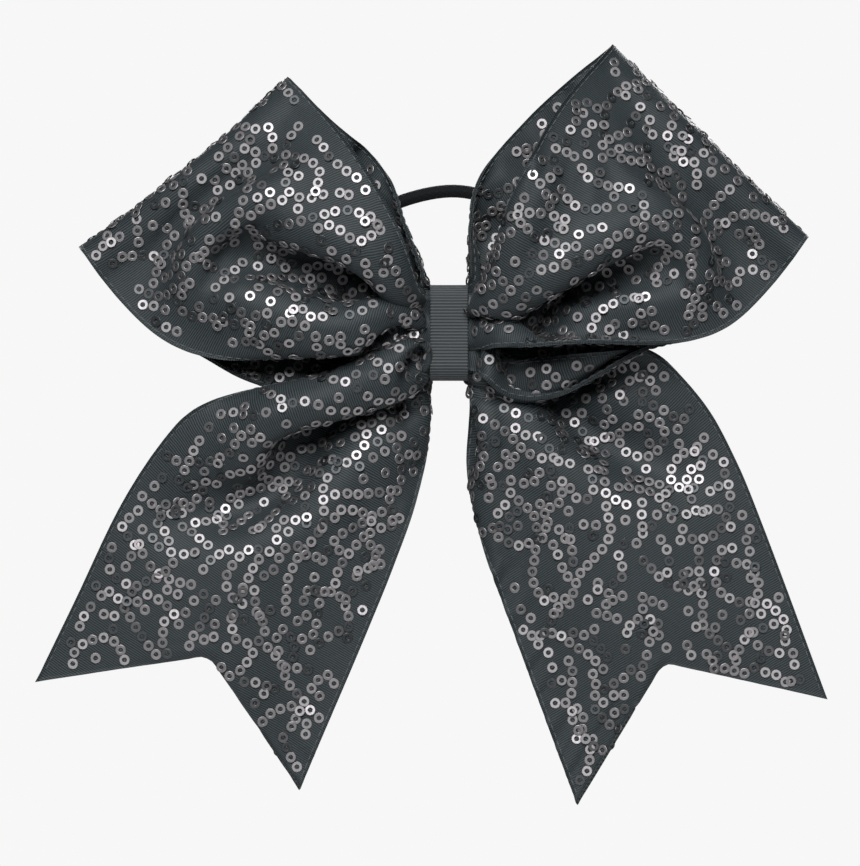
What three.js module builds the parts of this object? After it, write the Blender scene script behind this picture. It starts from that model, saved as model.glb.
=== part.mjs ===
// Cheer hair bow: two loops and two swallowtail ends of double-faced sequin ribbon,
// gathered in the middle, bound with thread, and wrapped by a grosgrain band that traps a hair tie.
// Millimetres, +Z up, +X to the right, the front faces -Y.
// Origin: centre of the flat back face of the centre band.

import * as THREE from 'three';

// Driving dimensions.
const PLY = 0.45; // one ply of sequined cloth
const GAP = 0.3; // space kept between pieces that touch
const BAND = { width: 10.6, height: 26.7, strip: 0.75, corner: 3.5, backCorner: 1.2, lap: 8 };
const GLUE = { width: 7, height: 9, thickness: 0.45 };
const TIE = { diameter: 3.75, wall: 0.55, core: 2, joint: 4.5 };
const BINDING = { thread: 0.6, turns: 4, pitch: 1.1, corner: 1.2 };
const GATHER = 2.1; // one gathered pass of the ribbon, squeezed flat
const STITCH = { width: 0.7, height: 0.35, inset: 1 };
const KNOT_HALF = 5.8; // the gathered middle reaches this far each side; the free ribbon starts at 7.8
const FOLD_RADIUS = 2.6; // the soft fold at a loop's outer end
const COLUMNS = 8; // strips across the ribbon
const LAYER_ROWS = 11; // steps along one layer of a loop
const TAIL_ROWS = 14;
const BAND_STEPS = 72; // steps along the band
const TIE_STEPS = 28;
const THREAD_STEPS = 18; // steps along one turn of binding thread

// The stack inside the band, from its back face forwards.
const bandBackInner = -2 * BAND.strip - GLUE.thickness - 2 * GAP;
const glueY = -BAND.strip - GAP - GLUE.thickness / 2;
const tieY = bandBackInner - GAP - TIE.diameter / 2;
const threadBackY = tieY - TIE.diameter / 2 - GAP - BINDING.thread / 2;
const rearY = threadBackY - BINDING.thread / 2 - GAP - GATHER / 2;
const middleY = rearY - GATHER - GAP;
const frontY = middleY - GATHER - GAP;
const threadFrontY = frontY - GATHER / 2 - GAP - BINDING.thread / 2;
const bandFrontOuter = threadFrontY - BINDING.thread / 2 - GAP - BAND.strip;
const bandTop = BAND.height / 2;
const threadTop = bandTop - BAND.strip - GAP - BINDING.thread / 2;

// Edges of the free ribbon as [x, z], from the knot outwards, and how far each layer
// stands out of the bow's middle plane. lower and upper are the two selvedges.
const FOLD_Y = -9;
const LOOPS = {
  left: {
    front: {
      y: frontY,
      puff: [-9, -22, -25],
      upper: [[-7.8, 11], [-14, 27], [-20.5, 42], [-31, 57], [-45.4, 72.2]],
      lower: [[-7.8, -4.8], [-40, -6.2], [-68, -7], [-80, -2.5], [-92.4, 9], [-103.9, 24.4]],
    },
    back: {
      y: rearY,
      puff: [3, 12, 15],
      upper: [[-7.8, 11], [-12.5, 33], [-19.5, 48], [-31, 57.5], [-45.4, 72.2]],
      lower: [[-7.8, -10.5], [-14, -16], [-26, -18.5], [-40, -17.5], [-57, -13.2],
        [-70, -7.2], [-82, -0.5], [-92.4, 9], [-103.9, 24.4]],
    },
  },
  right: {
    front: {
      y: frontY,
      puff: [-9, -22, -25],
      upper: [[7.8, 11], [12.5, 23], [19, 41], [30.5, 62.7], [46.2, 81.2]],
      lower: [[7.8, -4.6], [37, -2.5], [66, -2.6], [78, 1.2], [91, 13.4], [101.1, 27.2]],
    },
    back: {
      y: middleY,
      puff: [-2, 12, 15],
      upper: [[7.8, 11], [6.6, 24], [9, 43], [20, 59], [46.2, 81.2]],
      lower: [[7.8, -10.5], [14, -16.5], [22, -19], [31, -17.4], [42, -11.5],
        [54, -5.5], [66, -3], [78, 1.2], [91, 13.4], [101.1, 27.2]],
    },
  },
};
const TAILS = {
  left: {
    y: middleY - 0.8,
    end: -8,
    notch: 0.27,
    puff: [4, -2, 0],
    upper: [[-7.8, -5.8], [-23, -9], [-40, -13], [-59.4, -17.9], [-72, -21], [-80.1, -31.1],
      [-94.1, -54.6], [-116.2, -98]],
    lower: [[-7.8, -11.2], [-7, -25], [-8.5, -45.4], [-17.9, -72], [-29.7, -100], [-41.7, -127.7]],
  },
  right: {
    y: rearY + 0.8,
    end: -8,
    notch: 0.27,
    puff: [4, 0, 4],
    upper: [[7.8, -7], [25, -7.5], [42, -5.5], [56.3, -4.2], [71, -17.4], [80.9, -35.6],
      [93.2, -68.3], [106, -102.6]],
    lower: [[7.8, -11.2], [6, -25], [6.2, -42], [13.6, -69], [21.8, -92.1], [35.8, -131.9]],
  },
};

// The hair tie's centre line on its right half, from the glued joint to the top, then down the left.
const TIE_ROUTE = [[2.6, 0, 0], [7, 0, 0], [14, 3.6, 1.4], [21.5, 10.5, 5], [26.8, 17.5, 12],
  [28, 22.5, 21], [24, 26.5, 31], [15, 28.8, 38.6], [3, 29.6, 41.9], [-9, 29, 40.4],
  [-19, 27.4, 36], [-26.5, 24, 26.5], [-27.6, 18, 14.5], [-22, 10.5, 5.4], [-14, 3.6, 1.4],
  [-7, 0, 0], [-2.6, 0, 0]];

// Materials.
const cloth = (name) => new THREE.MeshStandardMaterial({
  name, color: 0x39444a, roughness: 0.75, metalness: 0.05 });
const sequinCloth = cloth('sequin_cloth');
const gatheredCloth = cloth('gathered_cloth');
const grosgrain = new THREE.MeshStandardMaterial({
  name: 'grosgrain', color: 0x353f45, roughness: 0.8, metalness: 0 });
const braid = new THREE.MeshStandardMaterial({
  name: 'braid', color: 0x101214, roughness: 0.9, metalness: 0 });
const rubber = new THREE.MeshStandardMaterial({
  name: 'rubber', color: 0x1b1b1b, roughness: 0.7, metalness: 0 });
const threadMaterial = new THREE.MeshStandardMaterial({
  name: 'thread', color: 0x2a3237, roughness: 0.6, metalness: 0 });
const glue = new THREE.MeshStandardMaterial({
  name: 'glue', color: 0xd8d4c4, roughness: 0.35, metalness: 0 });

const group = new THREE.Group();

function add(name, geometry, material) {
  const mesh = new THREE.Mesh(geometry, material);
  mesh.name = name;
  group.add(mesh);
  return mesh;
}

// ---------- surfaces of ribbon ----------

function edgeCurve(points) {
  const knots = points.map(([x, z]) => new THREE.Vector3(x, 0, z));
  return new THREE.CatmullRomCurve3(knots, false, 'centripetal');
}

// A value across the ribbon from its lower selvedge, middle and upper selvedge.
function across([low, middle, high], v) {
  const { lerp, smoothstep } = THREE.MathUtils;
  return lerp(lerp(low, middle, smoothstep(v, 0, 0.5)), high, smoothstep(v, 0.5, 1));
}

const columns = Array.from({ length: COLUMNS + 1 }, (_, i) => i / COLUMNS);
const steps = (count) => Array.from({ length: count + 1 }, (_, i) => i / count);

// The front layer rises steeply from the knot, and the back layer leaves it slowly.
const frontRise = (s) => Math.sin(Math.PI * s ** 0.85);
const backRise = (s) => Math.sin(Math.PI * s) ** 2;

// One layer of a loop as rows of points, from the knot to the start of the fold.
function layerRows(layer, rise, foldY, outward) {
  const upper = edgeCurve(layer.upper);
  const lower = edgeCurve(layer.lower);
  return steps(LAYER_ROWS).map((s) => {
    const high = upper.getPointAt(s);
    const low = lower.getPointAt(s);
    return columns.map((v) => {
      const point = low.clone().lerp(high, v);
      point.addScaledVector(outward, -FOLD_RADIUS * s * s);
      point.y = THREE.MathUtils.lerp(layer.y, foldY, s) + across(layer.puff, v) * rise(s);
      return point;
    });
  });
}

// A whole loop: front layer, fold, and back layer in reverse.
function loopRows({ front, back }) {
  const [peakX, peakZ] = front.upper.at(-1);
  const [cornerX, cornerZ] = front.lower.at(-1);
  const side = Math.sign(peakX);
  const outward = new THREE.Vector3(side * (peakZ - cornerZ), 0, side * (cornerX - peakX)).normalize();
  const frontRows = layerRows(front, frontRise, FOLD_Y - FOLD_RADIUS, outward);
  const backRows = layerRows(back, backRise, FOLD_Y + FOLD_RADIUS, outward);
  const foldRows = [0.25, 0.5, 0.75].map((turn) => frontRows.at(-1).map((start) => {
    const angle = Math.PI * turn;
    const point = start.clone().addScaledVector(outward, FOLD_RADIUS * Math.sin(angle));
    point.y = FOLD_Y - FOLD_RADIUS * Math.cos(angle);
    return point;
  }));
  return [...frontRows, ...foldRows, ...backRows.reverse()];
}

// A tail as rows of points, with the swallowtail notch cut into its end.
function tailRows({ y, end, notch, puff, upper, lower }) {
  const high = edgeCurve(upper);
  const low = edgeCurve(lower);
  return steps(TAIL_ROWS).map((share) => columns.map((v) => {
    const s = share * (1 - notch * (1 - Math.abs(2 * v - 1)));
    const point = low.getPointAt(s).lerp(high.getPointAt(s), v);
    point.y = THREE.MathUtils.lerp(y, end, s * s) + across(puff, v) * Math.sin(Math.PI * s);
    return point;
  }));
}

function surfaceNormals(rows) {
  const last = rows[0].length - 1;
  const pick = (i, j) => rows[THREE.MathUtils.clamp(i, 0, rows.length - 1)][
    THREE.MathUtils.clamp(j, 0, last)];
  return rows.map((row, i) => row.map((_, j) => {
    const along = pick(i + 1, j).clone().sub(pick(i - 1, j));
    const over = pick(i, j + 1).clone().sub(pick(i, j - 1));
    return along.cross(over).normalize();
  }));
}

function signedVolume(positions, index) {
  const corner = (i) => new THREE.Vector3().fromArray(positions, 3 * index[i]);
  let total = 0;
  for (let i = 0; i < index.length; i += 3) {
    total += corner(i).dot(corner(i + 1).cross(corner(i + 2)));
  }
  return total;
}

// A closed sheet between two offsets from a surface given as rows of points.
function sheetGeometry(rows, near, far, normals = surfaceNormals(rows)) {
  const width = rows[0].length;
  const size = rows.length * width;
  const positions = [];
  for (const offset of [near, far]) {
    rows.forEach((row, i) => row.forEach((point, j) => {
      positions.push(...point.clone().addScaledVector(normals[i][j], offset).toArray());
    }));
  }
  const index = [];
  const quad = (a, b, c, d) => index.push(a, b, c, a, c, d);
  for (let i = 0; i + 1 < rows.length; i += 1) {
    for (let j = 0; j + 1 < width; j += 1) {
      const a = i * width + j;
      quad(a, a + width, a + width + 1, a + 1);
      quad(size + a, size + a + 1, size + a + width + 1, size + a + width);
    }
    const low = i * width;
    const high = low + width - 1;
    quad(low, size + low, size + low + width, low + width);
    quad(high, high + width, size + high + width, size + high);
  }
  for (let j = 0; j + 1 < width; j += 1) {
    const last = size - width + j;
    quad(j, j + 1, size + j + 1, size + j);
    quad(last, size + last, size + last + 1, last + 1);
  }
  if (signedVolume(positions, index) < 0) index.reverse();
  const geometry = new THREE.BufferGeometry();
  geometry.setAttribute('position', new THREE.Float32BufferAttribute(positions, 3));
  geometry.setIndex(index);
  return geometry;
}

// A narrow strip of the same surface, just inside one selvedge, where the plies are sewn together.
function selvedgeRows(rows, atUpper) {
  return rows.map((row) => {
    const edge = atUpper ? row.at(-1) : row[0];
    const inward = (atUpper ? row.at(-2) : row[1]).clone().sub(edge).normalize();
    const near = edge.clone().addScaledVector(inward, STITCH.inset);
    const far = near.clone().addScaledVector(inward, STITCH.width);
    return atUpper ? [far, near] : [near, far];
  });
}

// ---------- ribbon pieces ----------

// Two plies back to back and a row of stitching along each selvedge.
function addRibbon(prefix, rows, faceNames, facing) {
  const ply = (sign) => sheetGeometry(rows, sign * GAP / 2, sign * (GAP / 2 + PLY));
  add(`${prefix}_${faceNames[0]}_ply`, ply(facing), sequinCloth);
  add(`${prefix}_${faceNames[1]}_ply`, ply(-facing), sequinCloth);
  const normals = surfaceNormals(rows);
  const near = facing * (2.2 * GAP + PLY);
  const far = near + facing * STITCH.height;
  for (const edge of ['upper', 'lower']) {
    const strip = selvedgeRows(rows, edge === 'upper');
    const column = edge === 'upper' ? COLUMNS : 0;
    const stripNormals = normals.map((row) => [row[column], row[column]]);
    add(`${prefix}_${edge}_stitching`, sheetGeometry(strip, near, far, stripNormals), threadMaterial);
  }
}

// ---------- knot ----------

// A gathered pass of the ribbon seen from the front: [x, z] corners, squeezed to GATHER thick.
function crossing(corners, y) {
  const shape = new THREE.Shape(corners.map(([x, z]) => new THREE.Vector2(x, z)));
  const geometry = new THREE.ExtrudeGeometry(shape, { depth: GATHER, bevelEnabled: false });
  return geometry.translate(0, 0, -GATHER / 2).rotateX(Math.PI / 2).translate(0, y, 0);
}

// The front pass: a slab whose front is scalloped by its pleats, run along X.
function frontGathers(bottom, top, pleats) {
  const shape = new THREE.Shape();
  const back = frontY + GATHER / 2;
  const valley = frontY - GATHER / 2 + 0.8;
  const pitch = (top - bottom) / pleats;
  shape.moveTo(back, bottom);
  shape.lineTo(valley, bottom);
  for (let i = 0; i < pleats; i += 1) {
    const start = bottom + i * pitch;
    shape.quadraticCurveTo(valley - 1.6, start + pitch / 2, valley, start + pitch);
  }
  shape.lineTo(back, top);
  const options = { depth: 2 * KNOT_HALF, bevelEnabled: false, curveSegments: 4 };
  return alongX(new THREE.ExtrudeGeometry(shape, options), KNOT_HALF);
}

// Turns a profile drawn in (y, z) and extruded into one that runs along X, centred.
function alongX(geometry, half) {
  const axes = new THREE.Matrix4().makeBasis(
    new THREE.Vector3(0, 1, 0), new THREE.Vector3(0, 0, 1), new THREE.Vector3(1, 0, 0));
  return geometry.applyMatrix4(axes).translate(-half, 0, 0);
}

// A flat strip of one thickness that follows a path in (y, z).
function stripShape(path, thickness) {
  const points = path.getSpacedPoints(BAND_STEPS);
  const side = (sign) => points.map((point, i) => {
    const before = points[Math.max(i - 1, 0)];
    const after = points[Math.min(i + 1, points.length - 1)];
    const tangent = after.clone().sub(before).normalize();
    const offset = new THREE.Vector2(-tangent.y, tangent.x).multiplyScalar(sign * thickness / 2);
    return point.clone().add(offset);
  });
  return new THREE.Shape([...side(1), ...side(-1).reverse()]);
}

// The band goes once round the knot, and its outer end overlaps its inner end at the back.
function bandGeometry() {
  const { strip, corner, backCorner, width, lap } = BAND;
  const inner = bandBackInner + strip / 2;
  const outer = -strip / 2;
  const front = bandFrontOuter + strip / 2;
  const reach = bandTop - strip / 2;
  const path = new THREE.Path();
  path.moveTo(inner, lap);
  path.lineTo(inner, backCorner - reach);
  path.absarc(inner - backCorner, backCorner - reach, backCorner, 0, -Math.PI / 2, true);
  path.lineTo(front + corner, -reach);
  path.absarc(front + corner, corner - reach, corner, -Math.PI / 2, -Math.PI, true);
  path.lineTo(front, reach - corner);
  path.absarc(front + corner, reach - corner, corner, Math.PI, Math.PI / 2, true);
  path.lineTo(outer - backCorner, reach);
  path.absarc(outer - backCorner, reach - backCorner, backCorner, Math.PI / 2, 0, true);
  path.lineTo(outer, -lap);
  const shape = stripShape(path, strip);
  return alongX(new THREE.ExtrudeGeometry(shape, { depth: width, bevelEnabled: false }), width / 2);
}

function polygon(sides, radius) {
  return Array.from({ length: sides }, (_, i) => new THREE.Vector2(
    radius * Math.cos(2 * Math.PI * i / sides), radius * Math.sin(2 * Math.PI * i / sides)));
}

function tube(points, section, count) {
  const extrudePath = new THREE.CatmullRomCurve3(points, false, 'centripetal');
  return new THREE.ExtrudeGeometry(section, { steps: count, extrudePath, bevelEnabled: false });
}

// Turns of thread wound round the stack of gathers.
function bindingGeometry() {
  const middle = (threadFrontY + threadBackY) / 2;
  const depth = (threadBackY - threadFrontY) / 2;
  const round = BINDING.corner;
  const turn = [[depth, 0], [depth, threadTop - round], [depth - round, threadTop], [round - depth, threadTop],
    [-depth, threadTop - round], [-depth, 0], [-depth, round - threadTop], [round - depth, -threadTop],
    [depth - round, -threadTop], [depth, round - threadTop]];
  const points = [];
  for (let i = 0; i <= BINDING.turns * turn.length; i += 1) {
    const [y, z] = turn[i % turn.length];
    const x = BINDING.pitch * (i / turn.length - BINDING.turns / 2);
    points.push(new THREE.Vector3(x, middle + y, z));
  }
  return tube(points, new THREE.Shape(polygon(6, BINDING.thread / 2)), THREAD_STEPS * BINDING.turns);
}

// ---------- hair tie ----------

function tieTube(section) {
  const points = TIE_ROUTE.map(([x, y, z]) => new THREE.Vector3(x, tieY + y, z));
  return tube(points, section, TIE_STEPS);
}

function sheathGeometry() {
  const section = new THREE.Shape(polygon(8, TIE.diameter / 2));
  section.holes.push(new THREE.Path(polygon(8, TIE.diameter / 2 - TIE.wall)));
  return tieTube(section);
}

// ---------- assembly ----------

for (const [side, loop] of Object.entries(LOOPS)) {
  addRibbon(`${side}_loop`, loopRows(loop), ['outer', 'inner'], side === 'left' ? 1 : -1);
}
for (const [side, tail] of Object.entries(TAILS)) {
  addRibbon(`${side}_tail`, tailRows(tail), ['front', 'back'], side === 'left' ? 1 : -1);
}

add('front_gathers', frontGathers(-4.8, 11, 4), gatheredCloth);
add('left_tail_crossing', crossing(
  [[-KNOT_HALF, -11.2], [KNOT_HALF, -10], [KNOT_HALF, 11], [-KNOT_HALF, -5.8]], middleY), gatheredCloth);
add('right_tail_crossing', crossing(
  [[-KNOT_HALF, -9.6], [KNOT_HALF, -11], [KNOT_HALF, -6.5], [-KNOT_HALF, 10]], rearY), gatheredCloth);
add('binding_thread', bindingGeometry(), threadMaterial);
add('centre_band', bandGeometry(), grosgrain);
const gluePad = new THREE.BoxGeometry(GLUE.width, GLUE.thickness, GLUE.height);
add('band_glue', gluePad, glue).position.set(0, glueY, 0);

add('hair_tie_sheath', sheathGeometry(), braid);
add('hair_tie_core', tieTube(new THREE.Shape(polygon(8, TIE.core / 2))), rubber);
const joint = new THREE.CylinderGeometry(TIE.diameter / 2 - 0.1, TIE.diameter / 2 - 0.1, TIE.joint, 12);
add('hair_tie_joint', joint.rotateZ(Math.PI / 2), rubber).position.set(0, tieY, 0);

export default group;
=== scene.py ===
"""A cheer hair bow in Blender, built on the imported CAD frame.

The double-faced ribbon is relaxed from its routes until it keeps its own flat size, then gets ring
sequins sewn in chains and stitched selvedges. The knot has a grosgrain band and a braided hair tie.
Shapes are worked out in millimetres in the row frame, and become metres as meshes are made.
"""

import math

import bpy
import numpy as np
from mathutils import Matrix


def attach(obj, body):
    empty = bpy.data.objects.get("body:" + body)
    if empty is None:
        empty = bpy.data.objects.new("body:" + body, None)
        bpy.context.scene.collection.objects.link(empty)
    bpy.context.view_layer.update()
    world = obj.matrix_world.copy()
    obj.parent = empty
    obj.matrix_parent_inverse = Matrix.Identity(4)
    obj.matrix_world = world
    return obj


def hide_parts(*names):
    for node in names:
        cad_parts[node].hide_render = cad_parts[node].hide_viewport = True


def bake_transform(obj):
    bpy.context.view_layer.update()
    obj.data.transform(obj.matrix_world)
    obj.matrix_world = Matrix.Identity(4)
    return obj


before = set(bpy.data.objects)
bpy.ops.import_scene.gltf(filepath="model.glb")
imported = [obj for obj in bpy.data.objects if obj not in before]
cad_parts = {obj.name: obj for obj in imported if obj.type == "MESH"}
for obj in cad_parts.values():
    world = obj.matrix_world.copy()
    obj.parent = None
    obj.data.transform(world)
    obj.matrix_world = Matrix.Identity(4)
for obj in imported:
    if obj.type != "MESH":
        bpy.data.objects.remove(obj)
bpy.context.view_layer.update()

MM = 0.001
WIDTH = 76.0  # the ribbon, selvedge to selvedge
SPACING = 2.6  # between the points of the relaxed ribbon, which starts from a grid twice as coarse
COARSE_COLUMNS = 14  # spaces across the ribbon on the grid it starts from
COARSE_ROUNDS = 200
RELAX_ROUNDS = 240
RELIEF_PULL = 0.03  # share of the way back to its starting depth that a point goes in each round
EDGE_PULL = 0.4  # share of the way to its route that a point of an edge goes in each round
TIP_PULL = 0.5
ROUTE_POINTS = 300
OUTLINE_POINTS = 80
CREASE_POINTS = 60
PLY = 0.36
PLY_LIFT = 0.05  # half the space between the two plies
FOLD_Y = -9.0
TAIL_END_Y = -8.0
FOLD_OPENING = 3.0  # how far each layer stands off near a loop's outer fold
INSIDE_BAND = 5.0  # the ribbon's free parts start this far from the middle, under the band
BAND = {"width": 10.6, "top": 13.35, "strip": 0.75, "corner": 5.5, "back_corner": 1.2, "lap": 8.0}
BAND_ROWS = 8  # of mesh in each rib
BAND_BACK_INNER = -2.55
BAND_FRONT = -16.65
RIB_PITCH = 0.86
TIE_Y = -4.725
TIE_RADIUS = 1.875
SEQUIN_RADIUS = 1.5
SEQUIN_HOLE = 0.66
SEQUIN_THICK = 0.14
SEQUIN_AREA = 21.0  # square millimetres of cloth for each sequin
SEQUIN_STEP = (2.9, 3.25)  # least and greatest distance to the next sequin of a chain
SEQUIN_TILT = math.radians(4.5)
SEQUIN_MARGIN = 2.8  # from a selvedge
CHAIN_MARGIN = 3.0  # from a selvedge, where a chain begins
CHAIN_LENGTH = (6, 26)  # sequins, least and one past the most
CHAIN_TURN = 0.2  # spread of a chain's first bend, in radians for each step
CHAIN_WANDER = 0.22  # spread of the change of bend at each step
LEAST_GAP, CLEAR_GAP = 1.2, 2.85  # between sequins that lap over each other, and that don't
LAPPED_SHARE = 0.16  # kept of the sequins that come closer than the clear gap
LAP_RISE = 0.16  # of a sequin over each one that it laps
FIRST_U = -30.0  # before the start of any ribbon, along its length
TAIL_SEARCH = 165.0  # how far along a tail sequins and stitches are looked for
CHAIN_TRIES = 4000
STITCH_SIDES = 6
EDGE_STITCH = {"pitch": 2.4, "length": 1.9, "margin": 1.0, "radius": 0.17}
CHAIN_THREAD = {"start": -0.2, "end": 1.9, "radius": 0.11}
UV_SPAN = 100.0  # millimetres for one unit of UV

# ------------ ribbon routes
# Selvedges as (x, z) from the knot outwards, as they look from the front. pinch is the section of
# knife pleats where the ribbon enters the band, as (z, y) from the lower selvedge to the upper one.
# puff is how far a layer bulges at its lower edge, middle and upper edge. creases are (depth towards
# the back, width below, width above, line of (x, z) points). lengths are the flat lengths of the lower
# and upper selvedge from knot to fold, and bow is how far the fold curves in between them. hidden is
# how far behind the loops a tail's pleats reach, and apex is the top of its swallowtail notch. start_y
# is the depth at the knot. flat_start and flat_end are flat lengths where a
# tail's ribbon begins, at its lower edge, middle and upper edge, and ends, at its lower and upper edge.
# notch is the share of the width and the flat length of the notch's top.
FRONT_PLEATS = [
    (7.4, -13.9), (6.8, -13.4), (-0.5, -13.0), (-0.6, -12.8), (10.8, -13.6), (11.2, -13.2),
    (2, -12.5), (1.9, -12.3), (11.4, -12.9), (11.6, -12.5), (3, -12.0), (2.9, -11.8), (11.6, -12.2),
]
LEFT_LOOP_FRONT = {
    "upper": [(-5, 11.6), (-7.8, 12.0), (-14, 29), (-20.5, 42), (-31, 57), (-44.8, 71.4)],
    "lower": [(-5, -5.2), (-7.8, -5.4), (-40, -6.4), (-68, -7), (-80, -2.5), (-92.4, 9), (-103.3, 23.6)],
    "bow": 1.8,
    "puff": (-8, -20, -22),
    "start_y": -13.4,
    "pinch": [(-5.2, -12.6), (-3.2, -14.6), (0.5, -15.0), (4.8, -14.8), *FRONT_PLEATS],
    "creases": [
        (18, 4.5, 7.5, [(-8, 6), (-15, 8), (-25.7, 10.5), (-36, 13), (-47, 15.5), (-68, 19)]),
        (3.5, 2.5, 3, [(-22, 9), (-28, 5.2), (-34, 0.5), (-39.5, -4.8)]),
        (-3, 5, 5, [(-12, -1), (-30, 0), (-55, 4), (-80, 12)]),
    ],
}
LEFT_LOOP_BACK = {
    "upper": [
        (-5, 11.2), (-6.2, 13.5), (-8.7, 20.4), (-12.9, 31.6), (-16.5, 42.8), (-22.7, 51.2), (-32.8, 59.6),
        (-44.8, 71.4),
    ],
    "lower": [
        (-5, -9.6), (-7.8, -10.5), (-14, -16), (-26, -18.5), (-40, -17.4), (-57, -12.9), (-70, -5.8),
        (-82, 0.2), (-92.4, 9), (-103.3, 23.6),
    ],
    "bow": 1.8,
    "puff": (2, 11, 4),
    "start_y": -8.9,
    "pinch": [
        (-9.6, -9.6), (-7, -9.9), (0, -9.4), (10.8, -9.2), (11, -9.0), (-3, -8.9), (-3, -8.7), (10.8, -8.5),
        (11, -8.3), (0, -8.2), (0, -8.0), (11.2, -8.1),
    ],
    "creases": [
        (-8, 7, 7, [(-10, 2), (-30, 12), (-60, 22)]),
        (-5, 5, 5, [(-12, -8), (-35, -8), (-60, -2)]),
    ],
}
RIGHT_LOOP_FRONT = {
    "upper": [(5, 11.4), (7.8, 12.0), (12.5, 23), (19, 41), (30.5, 62.7), (45.5, 80.5)],
    "lower": [(5, -4.6), (7.8, -4.6), (37, -2.5), (66, -2.6), (78, 1.2), (91, 13.4), (100.4, 26.5)],
    "bow": 0.3,
    "puff": (-8, -20, -22),
    "start_y": -13.4,
    "pinch": [(-4.6, -12.6), (-2.8, -14.6), (0.8, -15.0), (4.8, -14.8), *FRONT_PLEATS],
    "creases": [
        (16, 3.5, 6.5, [(8, 5.5), (20, 7.5), (31, 10), (43, 13), (62, 17)]),
        (-3, 5, 5, [(12, -1), (35, 2), (60, 6), (80, 12)]),
    ],
}
RIGHT_LOOP_BACK = {
    "upper": [(5, 11.2), (6.0, 15), (5.9, 28), (8.4, 42.8), (21.3, 59.6), (33.3, 70.8), (45.5, 80.5)],
    "lower": [
        (5, -10.2), (7.8, -11.2), (14, -16.8), (22, -19), (31, -17.4), (42, -11.5), (54, -4.8), (66, -1.8),
        (78, 1.2), (91, 13.4), (100.4, 26.5),
    ],
    "bow": 0.3,
    "puff": (-2, 11, 4),
    "start_y": -11.4,
    "pinch": [
        (-10.2, -12.4), (-8, -12.8), (0, -12.2), (11, -11.9), (11.2, -11.7), (-3, -11.6), (-3.2, -11.4),
        (10.8, -11.2), (11, -11.0), (0, -10.9), (0, -10.7), (11.2, -10.8),
    ],
    "creases": [
        (-8, 7, 7, [(12, 4), (35, 14), (60, 24)]),
        (3, 4, 4, [(10, -6.5), (22, -8), (36, -6)]),
    ],
}
LOOPS = {
    "left": {"lengths": (116.0, 90.0), "front": LEFT_LOOP_FRONT, "back": LEFT_LOOP_BACK},
    "right": {"lengths": (114.0, 96.0), "front": RIGHT_LOOP_FRONT, "back": RIGHT_LOOP_BACK},
}
LEFT_TAIL = {
    "upper": [
        (-5, -6.4), (-7.8, -6.0), (-17, -6.3), (-23, -9), (-40, -13), (-60.8, -17.4), (-72.8, -21.6),
        (-81.2, -31.1), (-91.3, -46.8), (-104.7, -74.8), (-116.2, -98),
    ],
    "lower": [
        (-5, -11.6), (-5.1, -14.6), (-5.6, -24), (-6.7, -35.6), (-9.2, -46.8), (-14.8, -63.6), (-23.8, -86),
        (-41.7, -127.7),
    ],
    "puff": (3, -4, -2),
    "start_y": -11.8,
    "flat_start": (34, 21, -2),
    "flat_end": (157.5, 157),
    "notch": (0.475, 131.5),
    "apex": (-67.3, -90.0),
    "hidden": [(-5, -1), (-12, -2), (-20, -5.5), (-32, -10.5)],
    "pinch": [
        (-11.6, -10.4), (-2, -10.2), (-1.8, -10.5), (-12, -10.8), (-12, -11.0), (-2, -11.0), (-1.8, -11.3),
        (-12.2, -11.6), (-12.2, -11.8), (-2.5, -11.8), (-2.3, -12.1), (-12.2, -12.6), (-11.5, -13.2),
        (-8.5, -13.4), (-6.4, -12.8),
    ],
    "creases": [
        (13, 6, 7, [(-7, -16), (-17.9, -22.5), (-33.6, -34.5), (-49.3, -42), (-65.2, -47.5), (-92, -57)]),
        (-7, 5, 5, [(-10, -9.5), (-25, -14), (-50, -24), (-75, -33)]),
        (8, 4, 4, [(-5.5, -18), (-6.5, -32), (-11, -52)]),
    ],
}
RIGHT_TAIL = {
    "upper": [
        (5, -8.0), (7.8, -8.0), (25, -7.5), (42, -5.5), (55.4, -4.8), (71.4, -18.8), (80.6, -35.6),
        (88.2, -54.6), (106, -102.6),
    ],
    "lower": [
        (5, -11.6), (5.9, -14.6), (5.6, -24.4), (5.0, -35.6), (6.7, -46.8), (10.9, -63.6), (18.8, -86),
        (35.8, -131.9),
    ],
    "puff": (3, -3, 1),
    "start_y": -9.2,
    "flat_start": (39.5, 25, -1.5),
    "flat_end": (166, 163.5),
    "notch": (0.492, 137.5),
    "apex": (59.8, -92.3),
    "hidden": [(5, -3), (15, -4), (30, -4), (50, -3.5)],
    "pinch": [
        (-11.6, -7.8), (-4, -7.6), (-3.8, -7.9), (-12.1, -8.1), (-12.1, -8.3), (-3.8, -8.3), (-3.6, -8.6),
        (-12.2, -8.8), (-12.2, -9.0), (-3.8, -9.0), (-3.6, -9.3), (-12.2, -9.5), (-12.2, -9.8), (-4, -9.8),
        (-3.8, -10.1), (-11.8, -10.3), (-11.4, -10.6), (-8, -10.4),
    ],
    "creases": [
        (11, 5, 7, [(9, -13), (22, -18), (34, -24), (50, -32), (64, -39.5), (78, -49)]),
        (6, 3.5, 3.5, [(5.5, -17), (5, -30), (7, -46)]),
    ],
}
TAILS = {"left": LEFT_TAIL, "right": RIGHT_TAIL}
CAMERA_DISTANCE = 1000.0
VIEW_WIDTH = 242.5  # seen at that distance
SENSOR_WIDTH = 36.0
LIT_PLACE = (0, 0, -0.02)  # where both lights point, in metres
FLOOR_Z = -420.0
FLOOR_HALF = 480.0
MIDDLE_Y = -8.0  # the bow's middle plane
CAMERA_CENTRE = np.array([-5.3, -28.0])  # where the camera looks, as (x, z)
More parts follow.
